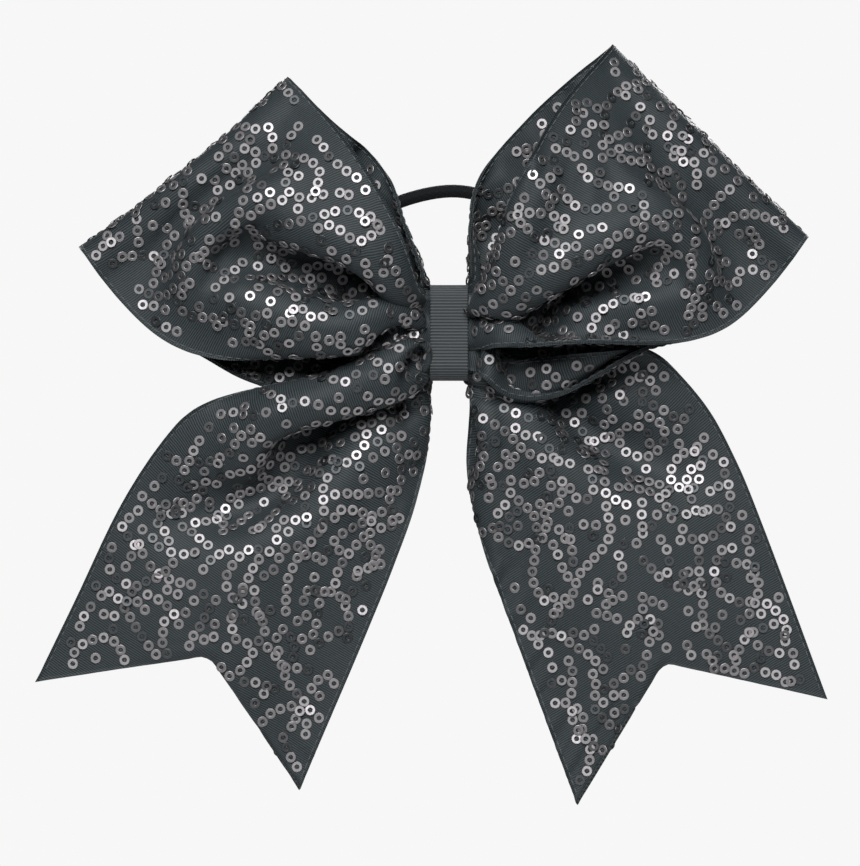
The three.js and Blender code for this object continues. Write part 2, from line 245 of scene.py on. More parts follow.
TIE_ROUTE = [  # from the end under the band, as (x, y, z) from the tie's place there
    (2.6, 0, 0), (7, 0, 0), (14, 3.6, 1.4), (21.5, 10.5, 5), (26.8, 17.5, 12), (28, 22.5, 21),
    (24, 26.5, 31), (15, 28.8, 38.6), (3, 29.6, 41.9), (-9, 29, 40.4), (-19, 27.4, 36),
    (-26.5, 24, 26.5), (-27.6, 18, 14.5), (-22, 10.5, 5.4), (-14, 3.6, 1.4), (-7, 0, 0), (-2.6, 0, 0),
]

# ------------ curves and grids


def mixed(a, b, start, end, t):
    """A mix that goes from a at the start to b at the end."""
    return (end - t) / (end - start) * a + (t - start) / (end - start) * b


def catmull(points, per_span=24):
    """A centripetal Catmull-Rom curve through points, as a fine polyline."""
    p = np.array(points, float)
    p = np.vstack([2 * p[0] - p[1], p, 2 * p[-1] - p[-2]])
    dense = []
    for a, b, c, d in zip(p, p[1:], p[2:], p[3:], strict=False):
        t1 = np.linalg.norm(b - a) ** 0.5
        t2 = t1 + np.linalg.norm(c - b) ** 0.5
        t3 = t2 + np.linalg.norm(d - c) ** 0.5
        t = np.linspace(t1, t2, per_span, endpoint=False)[:, None]
        ab, bc, cd = mixed(a, b, 0, t1, t), mixed(b, c, t1, t2, t), mixed(c, d, t2, t3, t)
        abc, bcd = mixed(ab, bc, 0, t2, t), mixed(bc, cd, t1, t3, t)
        dense.append(mixed(abc, bcd, t1, t2, t))
    return np.vstack([*dense, p[-2:-1]])


def unit(vectors):
    """Vectors brought to a length of one."""
    return vectors / np.linalg.norm(vectors, axis=-1, keepdims=True)


def even(count):
    """Shares from 0 to 1 at even steps."""
    return np.linspace(0, 1, count)


def together(*parts):
    """A grid of vectors, from a grid of each part."""
    return np.stack(np.broadcast_arrays(*parts), axis=2)


def travelled(points):
    """The length of a polyline up to each of its points."""
    return np.concatenate([[0], np.cumsum(np.linalg.norm(np.diff(points, axis=0), axis=1))])


def resample(points, shares):
    """Points at the given shares of a polyline's length."""
    along = travelled(points)
    along /= along[-1]
    return np.stack([np.interp(shares, along, points[:, k]) for k in range(points.shape[1])], axis=1)


def curve(points, count):
    """Evenly spaced points on a smooth curve."""
    return resample(catmull(points), even(count))


def smooth(x):
    """A soft step from 0 to 1."""
    x = np.clip(x, 0, 1)
    return x * x * (3 - 2 * x)


def across(values, v):
    """Values at shares v of the width, from those at the lower edge, the middle and the upper edge."""
    low, middle, high = values
    return low + (middle - low) * smooth(2 * v) + (high - middle) * smooth(2 * v - 1)


def nearest(places, path):
    """The nearest point of a path to each place."""
    return path[np.linalg.norm(places[:, None] - path[None], axis=2).argmin(axis=1)]


def seen_scale(points):
    """How much larger than at the middle plane the camera sees each point."""
    return CAMERA_DISTANCE / (CAMERA_DISTANCE + points[..., 1] - MIDDLE_Y)


def outside(places, outline):
    """Which (x, z) places lie outside a closed outline."""
    a, b = outline, np.roll(outline, -1, axis=0)
    x, z = places[:, :1], places[:, 1:]
    spans = (a[None, :, 1] > z) != (b[None, :, 1] > z)
    cross = (b[:, 0] - a[:, 0]) * (z - a[:, 1]) / (b[:, 1] - a[:, 1] + 1e-9) + a[:, 0]
    return np.sum(spans & (x < cross), axis=1) % 2 == 0


def crease_depth(points, creases):
    """How far creases push a grid's points back, from their distance to each crease in x and z."""
    total = np.zeros(points.shape[:2])
    for depth, below, above, line in creases:
        path = curve(line, CREASE_POINTS)
        gap = np.linalg.norm(points[:, :, None, (0, 2)] - path[None, None], axis=3)
        closest = gap.argmin(axis=2)
        share = closest / (CREASE_POINTS - 1)
        fade = smooth(share / 0.12 + 0.45) * (1 - smooth((share - 0.55) / 0.45))
        width = np.where(points[:, :, 2] > path[closest, 1], above, below)
        spread = width * (0.7 + 0.6 * share)
        total += depth * fade * np.exp(-((gap.min(axis=2) / spread) ** 2))
    return total


def end_line(route, bow, v):
    """Places at shares v from the lower selvedge's end to the upper one's, curved in towards the knot."""
    low, high = np.array(route["lower"][-1], float), np.array(route["upper"][-1], float)
    inward = np.array([low[1] - high[1], high[0] - low[0]]) / np.linalg.norm(high - low)
    if inward.dot(low + high) > 0:
        inward = -inward
    return low + (high - low) * v[:, None] + inward * (4 * bow * v * (1 - v))[:, None]


def pinch_places(route, v):
    """Heights and depths of the knife pleats at shares v of the ribbon's width."""
    pleats = np.array(route["pinch"], float)
    run = travelled(pleats)
    return np.interp(v, run / run[-1], pleats[:, 0]), np.interp(v, run / run[-1], pleats[:, 1])


def layer_points(route, s, v, rise, end_y):
    """A layer's starting shape: rows of points at shares s along it and v across it."""
    upper = resample(catmull(route["upper"]), s)
    lower = resample(catmull(route["lower"]), s)
    pleat_z, pleat_y = pinch_places(route, v)
    shift = pleat_z - (pleat_z[0] + (pleat_z[-1] - pleat_z[0]) * v)
    span = upper - lower
    fading = (1 - smooth(s / 0.3))[:, None]
    flat = lower[:, None] + span[:, None] * v[None, :, None]
    flat = flat + unit(span)[:, None] * (shift[None] * fading)[:, :, None]
    base = route["start_y"] + (end_y - route["start_y"]) * s[:, None]
    wave = (pleat_y - route["start_y"])[None] * fading * (1 + 5 * s[:, None])
    bow = end_line(route, route.get("bow", 0), v) - end_line(route, 0, v)
    points = np.zeros((len(s), len(v), 3))
    points[:, :, (0, 2)] = flat + bow[None] * smooth((s - 0.7) / 0.3)[:, None, None]
    points[:, :, 1] = base + across(route["puff"], v)[None] * rise(s)[:, None] + wave
    points[:, :, 1] += crease_depth(points, route["creases"]) * smooth(s / 0.06)[:, None]
    return points


def tie_room(points):
    """How far back ribbon may lie, where the hair tie rests and where it swings down behind."""
    x, z = np.abs(points[:, 0]), points[:, 2]
    room = np.interp(x, [7, 14, 21.5, 27, 29, 31], [-7.4, -5.8, -1.6, 4.6, 12, 40])
    above = np.interp(x, [7, 14, 21.5, 27], [2.5, 4, 8, 15])
    below = np.interp(x, [7, 14, 21.5, 27, 31], [3, 6.5, 13, 19.5, 25])
    return room + 1.5 * (np.maximum(z - above, 0) + np.maximum(-z - below, 0))


# ------------ cloth relaxation


class Cloth:
    """A grid of ribbon that keeps its own flat lengths while its edges are drawn to their routes."""

    LINKS = (
        ((1, 0), 1.0), ((0, 1), 1.0), ((1, 1), 0.5), ((1, -1), 0.5), ((2, 0), 0.5), ((0, 2), 0.5),
        ((4, 0), 0.25), ((0, 4), 0.25), ((3, 3), 0.15), ((3, -3), 0.15),
    )

    def __init__(self, points, flat, held_rows, stiff):
        self.shape = points.shape[:2]
        self.points = points.reshape(-1, 3).copy()
        self.start = self.points.copy()
        self.flat = flat.reshape(-1, 2)
        self.index = np.arange(len(self.points)).reshape(self.shape)
        self.free = np.ones(len(self.points))
        self.free[self.index[held_rows].ravel()] = 0
        self.stiff = stiff.ravel()
        self.links = []
        for step, strength in self.LINKS:
            self.links += self.links_at(*step, strength)

    def links_at(self, di, dj, strength):
        """Links between points a step apart, in two sets, so that no point is in a set twice."""
        rows, cols = self.shape
        first = self.index[: rows - di, max(0, -dj) : cols - max(0, dj)]
        second = self.index[di:, max(0, dj) : cols + min(0, dj)]
        i, j = np.indices(first.shape)
        count = i // di if di else j // dj
        for parity in (0, 1):
            a, b = first[count % 2 == parity], second[count % 2 == parity]
            rest = np.linalg.norm(self.flat[b] - self.flat[a], axis=1)
            bends = max(abs(di), abs(dj)) > 1
            force = strength * (np.minimum(self.stiff[a], self.stiff[b]) if bends else 1)
            yield a, b, rest, force, bends

    def begin_from(self, grid):
        """Takes the free points from a grid that was relaxed before."""
        loose = self.free > 0
        self.points[loose] = grid.reshape(-1, 3)[loose]

    def relax(self, rounds, pull):
        """Brings links back to their flat lengths. Long ones stop bends, so they only push."""
        for count in range(rounds):
            for a, b, rest, force, bends in self.links:
                d = self.points[b] - self.points[a]
                length = np.linalg.norm(d, axis=1) + 1e-9
                error = (length - rest) / length / (self.free[a] + self.free[b] + 1e-9) * force
                if bends:
                    error = np.minimum(error, 0)
                move = d * error[:, None]
                self.points[a] += move * self.free[a][:, None]
                self.points[b] -= move * self.free[b][:, None]
            pull(self, count)

    def draw_edge(self, ids, route):
        """Moves edge points in x and z towards the nearest point of their route."""
        here = self.seen(ids)
        self.shift(ids, (nearest(here, route) - here) * EDGE_PULL)

    def keep_inside(self, ids, outline):
        """Moves points that stick out of an outline back to it."""
        ids = ids[self.free[ids] > 0]
        here = self.seen(ids)
        out = outside(here, outline)
        ids, here = ids[out], here[out]
        if len(ids):
            self.shift(ids, nearest(here, outline) - here)

    def seen(self, ids):
        """Places in x and z where the camera sees points."""
        scale = seen_scale(self.points[ids])[:, None]
        return CAMERA_CENTRE + (self.points[ids][:, (0, 2)] - CAMERA_CENTRE) * scale

    def shift(self, ids, move):
        """Moves points in x and z by what the camera is to see."""
        move = move * self.free[ids][:, None] / seen_scale(self.points[ids])[:, None]
        self.points[ids, 0] += move[:, 0]
        self.points[ids, 2] += move[:, 1]

    def draw_relief(self):
        """Moves points towards their starting depth."""
        self.points[:, 1] += (self.start[:, 1] - self.points[:, 1]) * RELIEF_PULL * self.free

    def leave_room(self):
        """Moves points forward, out of the hair tie's way."""
        extra = np.maximum(self.points[:, 1] - tie_room(self.points), 0)
        self.points[:, 1] -= extra * self.free


def finer(grid, times):
    """A grid with extra rows and columns on cubic curves through the old ones."""
    for axis in (0, 1):
        g = np.moveaxis(grid, axis, 0)
        padded = np.concatenate([2 * g[:1] - g[1:2], g, 2 * g[-1:] - g[-2:-1]])
        a, b, c, d = padded[:-3], padded[1:-2], padded[2:-1], padded[3:]
        parts = []
        for k in range(times):
            t = k / times
            bend = (2 * a - 5 * b + 4 * c - d) * t**2 + (3 * b - a - 3 * c + d) * t**3
            parts.append(b + 0.5 * ((c - a) * t + bend))
        closer = np.stack(parts, axis=1).reshape(-1, *g.shape[1:])
        grid = np.moveaxis(np.concatenate([closer, g[-1:]]), 0, axis)
    return grid


def outline_of(upper, end, lower):
    """A closed outline from two selvedges and the end line that joins them, lower one first."""
    share = even(60)[1:-1, None]
    return np.concatenate([upper, end[::-1], lower[::-1], lower[0] + (upper[0] - lower[0]) * share])


class Ribbon:
    """A length of ribbon, relaxed on a coarse grid and then on one with half its spacing."""

    START_MARGIN, END_MARGIN = 3.0, 3.0  # that sequins and stitches keep from the ribbon's ends

    def __init__(self):
        self.grid = None
        for finer_by, rounds in ((1, COARSE_ROUNDS), (2, RELAX_ROUNDS)):
            cloth, pull = self.laid_out(finer_by, even(COARSE_COLUMNS * finer_by + 1))
            if self.grid is not None:
                cloth.begin_from(finer(self.grid, 2))
            cloth.relax(rounds, pull)
            self.grid = cloth.points.reshape(*cloth.shape, 3)

    def place(self, u, w):
        """Grid row and column of a flat place on the ribbon."""
        rows, cols = self.grid.shape[:2]
        begin, end = self.ends(w / WIDTH)
        return (u - begin) / (end - begin) * (rows - 1), w / WIDTH * (cols - 1)

    def covers(self, u, w):
        """Whether a flat place is on the ribbon, clear of its ends."""
        begin, end = self.ends(w / WIDTH)
        return begin + self.START_MARGIN < u < end - self.END_MARGIN


class Loop(Ribbon):
    """A loop's grid: front layer, fold, and back layer in reverse."""

    def __init__(self, side):
        self.side = side
        self.low, self.high = LOOPS[side]["lengths"]
        super().__init__()

    def ends(self, v):
        """Where the ribbon begins and ends along its length, as it is cut on a slant at the knot."""
        start = (self.low - self.high) * v
        return start, 2 * self.low - start

    def cut_size(self):
        """The flat width, length and area."""
        return WIDTH, 2 * self.low, WIDTH * (self.low + self.high)

    def laid_out(self, finer_by, v):
        """The loop's cloth before it is relaxed, and the function that pulls it into place."""
        front, back = LOOPS[self.side]["front"], LOOPS[self.side]["back"]
        rows = 2 * round(self.low / 2 / SPACING / 2) * finer_by
        s = even(rows + 1)
        fore = layer_points(front, s, v, lambda t: np.sin(np.pi * t**0.85), FOLD_Y)
        rear = layer_points(back, s, v, lambda t: np.sin(np.pi * t) ** 2, FOLD_Y)
        opened = (FOLD_OPENING * np.sqrt(1 - s) * smooth((s - 0.7) / 0.3))[:, None]
        fore[:, :, 1] -= opened
        rear[:, :, 1] += opened
        start, _ = self.ends(v)
        along = start[None] + s[:, None] * (self.low - start)[None]
        points = np.concatenate([fore, rear[-2::-1]])
        along = np.concatenate([along, (2 * self.low - along)[-2::-1]])
        self.flat = together(along, v[None] * WIDTH)
        last = 2 * rows
        stiff = np.tile(smooth(np.concatenate([s, s[-2::-1]]) / 0.3)[:, None], (1, len(v)))
        stiff[: rows + 1] = np.maximum(stiff[: rows + 1], 1 - smooth((v - 0.12) / 0.12))
        stiff = stiff * 0.9 + 0.1
        cloth = Cloth(points, self.flat, [0, 1, rows, last - 1, last], stiff)
        fold = end_line(front, front["bow"], even(OUTLINE_POINTS))
        routes, layers = [], []
        for layer, edge, face in (
            (front, cloth.index[:rows], cloth.index[: rows + 1]),
            (back, cloth.index[rows + 1 :], cloth.index[rows + 1 :]),
        ):
            upper, lower = curve(layer["upper"], ROUTE_POINTS), curve(layer["lower"], ROUTE_POINTS)
            routes += [(edge[:, -1], upper), (edge[:, 0], lower)]
            layers.append((face.ravel(), outline_of(upper, fold, lower)))

        def pull(c, count):
            for ids, route in routes:
                c.draw_edge(ids, route)
            c.draw_relief()
            c.leave_room()
            if count % 4 == 3:
                for ids, outline in layers:
                    c.keep_inside(ids, outline)

        return cloth, pull


class Tail(Ribbon):
    """A tail's grid, whose rows end on the swallowtail cut."""

    NOMINAL_LENGTH = 160.0
    END_MARGIN = 1.6

    def __init__(self, side):
        self.route = TAILS[side]
        super().__init__()

    def cut_size(self):
        """The flat width, length and area."""
        begin, end = self.ends(even(101))
        return WIDTH, end.max() - begin.min(), WIDTH * np.mean(end - begin)

    def ends(self, v):
        """Where the ribbon begins and ends along its length, at shares v of its width."""
        notch_v, notch_u = self.route["notch"]
        lower, upper = self.route["flat_end"]
        begin = across(self.route["flat_start"], v)
        return begin, np.interp(v, [0, notch_v, 1], [lower, notch_u, upper])

    def laid_out(self, finer_by, v):
        """The tail's cloth before it is relaxed, and the function that pulls it into place."""
        route = self.route
        s = even(round(self.NOMINAL_LENGTH / 2 / SPACING) * finer_by + 1)
        begin, end = self.ends(v)
        full = layer_points(route, s, v, lambda t: np.sin(np.pi * t), TAIL_END_Y)
        whole = np.interp(v, [0, 1], route["flat_end"]) - begin
        points = np.zeros_like(full)
        for j, reach in enumerate((end - begin) / whole):
            for k in range(3):
                points[:, j, k] = np.interp(s * reach, s, full[:, j, k])
        along = begin[None] + s[:, None] * (end - begin)[None]
        self.flat = together(along, v[None] * WIDTH)
        stiff = np.tile(smooth(s / 0.25)[:, None] * 0.9 + 0.1, (1, len(v)))
        cloth = Cloth(points, self.flat, [0, 1], stiff)
        tips = {cloth.index[-1, -1]: route["upper"][-1], cloth.index[-1, 0]: route["lower"][-1]}
        corners = np.array([route["lower"][-1], route["apex"], route["upper"][-1]])
        cut = resample(corners, even(161))
        upper, lower = curve(route["upper"], ROUTE_POINTS), curve(route["lower"], ROUTE_POINTS)
        routes = [(cloth.index[:, -1], upper), (cloth.index[:, 0], lower), (cloth.index[-1], cut)]
        covered = curve(route["hidden"], OUTLINE_POINTS)
        beyond = np.abs(upper[:, 0]) > abs(covered[-1, 0])
        outline = outline_of(np.concatenate([covered, upper[beyond]]), cut, lower)

        def pull(c, count):
            for ids, path in routes:
                c.draw_edge(ids, path)
            if count % 4 == 3:
                c.keep_inside(c.index.ravel(), outline)
            for tip, (x, z) in tips.items():
                c.points[tip, 0] += (x - c.points[tip, 0]) * TIP_PULL
                c.points[tip, 2] += (z - c.points[tip, 2]) * TIP_PULL
            c.draw_relief()
            c.leave_room()

        return cloth, pull


def grid_normals(grid):
    n = np.cross(np.gradient(grid, axis=0), np.gradient(grid, axis=1))
    return n / (np.linalg.norm(n, axis=2, keepdims=True) + 1e-12)


def sample(grid, rows, cols):
    """Values of a grid at fractional rows and columns."""
    rows = np.clip(rows, 0, grid.shape[0] - 1.001)
    cols = np.clip(cols, 0, grid.shape[1] - 1.001)
    i, j = rows.astype(int), cols.astype(int)
    a, b = (rows - i)[:, None], (cols - j)[:, None]
    low = grid[i, j] * (1 - b) + grid[i, j + 1] * b
    high = grid[i + 1, j] * (1 - b) + grid[i + 1, j + 1] * b
    return low * (1 - a) + high * a


# ------------ meshes


def new_object(name, data):
    """An object of the scene."""
    made = bpy.data.objects.new(name, data)
    bpy.context.scene.collection.objects.link(made)
    return made


def make_mesh(name, vertices, faces, material, uvs=None, values=None):
    """A mesh object from millimetre points. uvs has one pair for each vertex, values one number."""
    mesh = bpy.data.meshes.new(name)
    faces = faces.tolist() if isinstance(faces, np.ndarray) else faces
    mesh.from_pydata((np.asarray(vertices) * MM).tolist(), [], faces)
    if uvs is not None:
        layer = mesh.uv_layers.new(name="UVMap")
        corners = np.empty(len(mesh.loops), np.int32)
        mesh.loops.foreach_get("vertex_index", corners)
        layer.data.foreach_set("uv", np.asarray(uvs, np.float32)[corners].ravel())
    if values is not None:
        tones = mesh.attributes.new("piece_value", "FLOAT", "POINT")
        tones.data.foreach_set("value", np.asarray(values, np.float32))
    mesh.polygons.foreach_set("use_smooth", np.ones(len(mesh.polygons), bool))
    mesh.update()
    mesh.materials.append(material)
    return new_object(name, mesh)


def grid_faces(rows, cols, offset, flip):
    """Quads of a grid whose points start at an offset and go row by row."""
    a = (np.arange(rows - 1)[:, None] * cols + np.arange(cols - 1)[None]).ravel() + offset
    quads = np.stack([a, a + cols, a + cols + 1, a + 1], axis=1)
    return quads[:, ::-1] if flip else quads


def closed_sheet(name, grid, normals, near, far, flat, material):
    """A closed sheet between two offsets from a surface."""
    rows, cols = grid.shape[:2]
    size = rows * cols
    vertices = np.concatenate([(grid + normals * offset).reshape(-1, 3) for offset in (near, far)])
    index = np.arange(size).reshape(rows, cols)
    ring = np.concatenate([index[0, :-1], index[:-1, -1], index[-1, :0:-1], index[:0:-1, 0]])
    following = np.roll(ring, -1)
    rim = np.stack([ring, following, following + size, ring + size], axis=1)
    outward = bool(np.mean(far) > np.mean(near))
    sides = [
        grid_faces(rows, cols, 0, outward), grid_faces(rows, cols, size, not outward),
        rim if outward else rim[:, ::-1],
    ]
    uvs = np.concatenate([flat.reshape(-1, 2)] * 2) / UV_SPAN
    return make_mesh(name, vertices, np.concatenate(sides), material, uvs)


def tube_faces(rings, sides, start=0):
    """Quads between the rings of a tube, whose points go round one ring after another."""
    first = start + np.arange(rings - 1)[:, None] * sides
    turn = np.arange(sides)[None]
    a, b = (first + turn).ravel(), (first + (turn + 1) % sides).ravel()
    return np.stack([a, b, b + sides, a + sides], axis=1).tolist()


def rings_round(first, second, angle):
    """Directions round a circle at each point, from two vectors at right angles there."""
    return first[:, None] * np.cos(angle)[None, :, None] + second[:, None] * np.sin(angle)[None, :, None]


def tube_mesh(name, path, radius, sides, material, relief=None):
    """A closed tube along a polyline. relief gives the surface's extra height at (length, angle)."""
    tangent = unit(np.gradient(path, axis=0))
    along = travelled(path)
    normal = np.cross(tangent[0], [0.3, 0.9, 0.2])
    normals = []
    for t in tangent:
        normal = unit(normal - t * normal.dot(t))
        normals.append(normal)
    normals = np.array(normals)
    side = np.cross(tangent, normals)
    angle = np.linspace(0, 2 * np.pi, sides, endpoint=False)
    reach = np.full((len(path), sides), float(radius))
    if relief:
        reach += relief(along[:, None], angle[None])
    points = path[:, None] + rings_round(normals, side, angle) * reach[:, :, None]
    faces = tube_faces(len(path), sides)
    faces.append(list(range(sides))[::-1])
    faces.append([(len(path) - 1) * sides + k for k in range(sides)])
    spread = together(along[:, None], angle[None] * radius).reshape(-1, 2)
    return make_mesh(name, points.reshape(-1, 3), faces, material, spread / UV_SPAN)


# ------------ materials


class Nodes:
    """Short ways to add and join the shader nodes of a new material or world."""

    def __init__(self, name, owners=bpy.data.materials, shader="Principled BSDF"):
        self.owner = owners.new(name)
        self.owner.use_nodes = True
        self.tree = self.owner.node_tree
        self.shader = self.tree.nodes[shader]

    def add(self, kind, **settings):
        node = self.tree.nodes.new(kind)
        for key, value in settings.items():
            setattr(node, key, value)
        return node

    def join(self, output, target):
        self.tree.links.new(output, target)

    def put(self, value, target):
        """Sets an input to a number or colour, or joins it to another node's output."""
        if isinstance(value, bpy.types.NodeSocket):
            self.join(value, target)
        else:
            target.default_value = value

    def math(self, operation, a, b=0.0, clamp=False):
        node = self.add("ShaderNodeMath", operation=operation, use_clamp=clamp)
        self.put(a, node.inputs[0])
        self.put(b, node.inputs[1])
        return node.outputs[0]

    def line(self, value, gain, base):
        """A value times gain, plus base."""
        return self.math("ADD", self.math("MULTIPLY", value, gain), base)

    def total(self, *parts, clamp=False):
        """The sum of values, each times its weight."""
        first, *rest = [self.math("MULTIPLY", value, weight) for value, weight in parts]
        for k, part in enumerate(rest):
            first = self.math("ADD", first, part, clamp and k == len(rest) - 1)
        return first

    def mix(self, factor, a, b):
        node = self.add("ShaderNodeMix", data_type="RGBA")
        self.put(factor, node.inputs[0])
        self.put((*a, 1) if isinstance(a, tuple) else a, node.inputs[6])
        self.put((*b, 1) if isinstance(b, tuple) else b, node.inputs[7])
        return node.outputs[2]

    def flat_uv(self):
        """Places along and across the cloth, in millimetres."""
        split = self.add("ShaderNodeSeparateXYZ")
        self.join(self.add("ShaderNodeUVMap", uv_map="UVMap").outputs[0], split.inputs[0])
        return [self.math("MULTIPLY", split.outputs[k], UV_SPAN) for k in (0, 1)]

    def noise(self, scale, detail=3.0):
        node = self.add("ShaderNodeTexNoise")
        node.inputs["Scale"].default_value = scale
        node.inputs["Detail"].default_value = detail
        self.join(self.add("ShaderNodeTexCoord").outputs["Object"], node.inputs["Vector"])
        return node.outputs[0]

    def camera_ray(self):
        """One where the camera looks straight at the surface, and nought for light that it gives."""
        return self.add("ShaderNodeLightPath").outputs["Is Camera Ray"]

    def bump(self, height, strength, distance):
        node = self.add("ShaderNodeBump")
        node.inputs["Strength"].default_value = strength
        node.inputs["Distance"].default_value = distance
        self.join(height, node.inputs["Height"])
        return node.outputs[0]

    def surface(self, colour, roughness, normal=None, **inputs):
        self.put(colour if not isinstance(colour, tuple) else (*colour, 1), self.shader.inputs["Base Color"])
        self.put(roughness, self.shader.inputs["Roughness"])
        if normal:
            self.join(normal, self.shader.inputs["Normal"])
        for key, value in inputs.items():
            self.shader.inputs[key.replace("_", " ")].default_value = value
        return self.owner


def half_wave(n, run, pitch):
    """A wave between 0 and 1."""
    return n.line(n.math("SINE", n.math("MULTIPLY", run, 2 * math.pi / pitch)), 0.5, 0.5)


def slanted(n, u, w, degrees):
    """Distance in a direction turned from the ribbon's length."""
    angle = math.radians(degrees)
    return n.total((u, math.cos(angle)), (w, math.sin(angle)))


def cloth_look(name):
    """Fine slanting ribs of a satin ground, with faint cross threads and uneven dye."""
    n = Nodes(name)
    u, w = n.flat_uv()
    wobble = n.math("MULTIPLY", n.math("SUBTRACT", n.noise(260), 0.5), 0.5)
    rib = half_wave(n, n.math("ADD", slanted(n, u, w, 9), wobble), 0.6)
    cross = half_wave(n, slanted(n, u, w, 99), 0.34)
    weave = n.total((rib, 0.85), (cross, 0.15))
    patch = n.noise(45, 4)
    shade = n.total((weave, 0.8), (patch, 0.2), (n.noise(2200, 2), 0.35))
    shade = n.math("SUBTRACT", shade, 0.2, clamp=True)
    colour = n.mix(shade, (0.003, 0.006, 0.007), (0.072, 0.09, 0.098))
    return n.surface(
        colour, n.line(patch, 0.12, 0.5), n.bump(weave, 0.4, 0.0001),
        Sheen_Weight=0.08, Sheen_Roughness=0.4, Specular_IOR_Level=0.25,
    )


def sequin_look():
    """Pearly film: most rings bright, some smoky and nearly as dark as the cloth, their random tones partly
    painted reflection and shade.
    """
    n = Nodes("sequin")
    value = n.add("ShaderNodeAttribute", attribute_name="piece_value").outputs["Fac"]
    # Each ring's random value sets its tone: partly the film's own, partly painted reflection for rings that
    # catch the light and painted shade for rings turned away from it.
    clear = n.math("MULTIPLY", n.math("SUBTRACT", value, 0.1), 3.6, clamp=True)
    pearl_and_glint = n.mix(value, (0.36, 0.345, 0.352), (0.56, 0.53, 0.545))
    tone = n.mix(clear, (0.06, 0.068, 0.072), pearl_and_glint)
    haze = n.noise(1400, 2)
    colour = n.mix(n.math("MULTIPLY", haze, 0.45), tone, (0.2, 0.2, 0.215))
    return n.surface(
        colour, n.line(haze, 0.16, 0.44), n.bump(haze, 0.2, 0.00005),
        Metallic=1.0, Coat_Weight=0.08, Coat_Roughness=0.3,
    )


def thread_look():
    """Thread twisted from plies, with painted shade darker in the grooves between them."""
    n = Nodes("thread")
    run = n.add("ShaderNodeTexCoord").outputs["Object"]
    split = n.add("ShaderNodeSeparateXYZ")
    n.join(run, split.inputs[0])
    ply = n.total((split.outputs[0], 1000), (split.outputs[2], 1300))
    twist = half_wave(n, ply, 0.5)
    tone = (0.1, 0.118, 0.126)
    # twist darkens the colour between plies: painted shade.
    shade = n.mix(twist, tuple(c * 0.55 for c in tone), tuple(c * 1.3 for c in tone))
    rough = n.line(n.noise(400), 0.2, 0.4)
    return n.surface(shade, rough, n.bump(twist, 0.4, 0.00008), Sheen_Weight=0.3, Sheen_Roughness=0.4)


def grosgrain_look():
    """Filaments run along each raised rib, and the grooves between ribs are darker: painted shade."""
    n = Nodes("grosgrain")
    u, w = n.flat_uv()
    rib = half_wave(n, n.math("ADD", u, RIB_PITCH * 0.25), RIB_PITCH)
    warp = half_wave(n, w, 0.3)
    fibre = n.noise(1500, 3)
    shade = n.total((rib, 0.7), (warp, 0.15), (fibre, 0.2), clamp=True)
    # The rib wave darkens the grooves between ribs in the colour itself: painted shade.
    colour = n.mix(shade, (0.01, 0.014, 0.017), (0.082, 0.094, 0.1))
    rough = n.line(fibre, 0.2, 0.5)
    height = n.line(warp, 0.5, fibre)
    return n.surface(colour, rough, n.bump(height, 0.35, 0.0001), Sheen_Weight=0.08, Sheen_Roughness=0.4)


def braid_look():
    """Dark strands that cross on the tie's surface, a little fluffy."""
    n = Nodes("braid")
    u, w = n.flat_uv()
    lines = n.math("MAXIMUM", *[half_wave(n, slanted(n, u, w, slant), 0.42) for slant in (35, -35)])
    fluff = n.noise(1200, 4)
    shade = n.total((lines, 0.6), (fluff, 0.4), clamp=True)
    colour = n.mix(shade, (0.0015, 0.002, 0.0025), (0.012, 0.013, 0.016))
    return n.surface(
        colour, n.line(fluff, 0.2, 0.65), n.bump(lines, 0.5, 0.00015), Specular_IOR_Level=0.2,
    )


def cloudy_look(name, scale, dark, light, roughness, bump, **inputs):
    """A material whose tone, roughness and height follow one noise."""
    n = Nodes(name)
    cloud = n.noise(scale, 4)
    colour = n.mix(cloud, dark, light)
    return n.surface(colour, n.line(cloud, *roughness), n.bump(cloud, *bump), **inputs)


# ------------ sequins and stitches


def sewn_chains(ribbon, length, seed):
    """Flat places of sequins in meandering chains, each with its chain's direction."""
    draw = np.random.default_rng(seed)
    wanted = int(length * WIDTH / SEQUIN_AREA)
    found = np.zeros((0, 3))
    for _ in range(CHAIN_TRIES):
        if len(found) >= wanted:
            break
        u, w = draw.uniform(FIRST_U, length), draw.uniform(CHAIN_MARGIN, WIDTH - CHAIN_MARGIN)
        heading = draw.uniform(0, 2 * math.pi)
        turn = draw.normal(0, CHAIN_TURN)
        for _ in range(draw.integers(*CHAIN_LENGTH)):
            turn = 0.8 * turn + draw.normal(0, CHAIN_WANDER)
            heading += turn
            step = draw.uniform(*SEQUIN_STEP)
            u, w = u + step * math.cos(heading), w + step * math.sin(heading)
            if not (SEQUIN_MARGIN < w < WIDTH - SEQUIN_MARGIN and ribbon.covers(u, w)):
                break
            gap = np.hypot(found[:, 0] - u, found[:, 1] - w).min(initial=WIDTH)
            if gap < LEAST_GAP or (gap < CLEAR_GAP and draw.random() > LAPPED_SHARE):
                break
            found = np.vstack([found, [u, w, heading]])
    return found


def washer():
    """A flat ring with softened rims, from a section of points as (radius, height)."""
    rim = SEQUIN_RADIUS
    section = [
        (SEQUIN_HOLE, 0.0), (SEQUIN_HOLE, SEQUIN_THICK * 0.6), (SEQUIN_HOLE + 0.08, SEQUIN_THICK),
        (rim - 0.1, SEQUIN_THICK), (rim, SEQUIN_THICK * 0.5), (rim, 0.0),
    ]
    angle = np.linspace(0, 2 * np.pi, 14, endpoint=False)
    points = np.array([[(r * math.cos(a), r * math.sin(a), h) for r, h in section] for a in angle])
    index = np.arange(len(angle) * len(section)).reshape(len(angle), len(section))
    after, up = np.roll(index, -1, axis=0), np.roll(index, -1, axis=1)
    faces = np.stack([index, up, np.roll(after, -1, axis=1), after], axis=2)
    return points.reshape(-1, 3), faces.reshape(-1, 4)


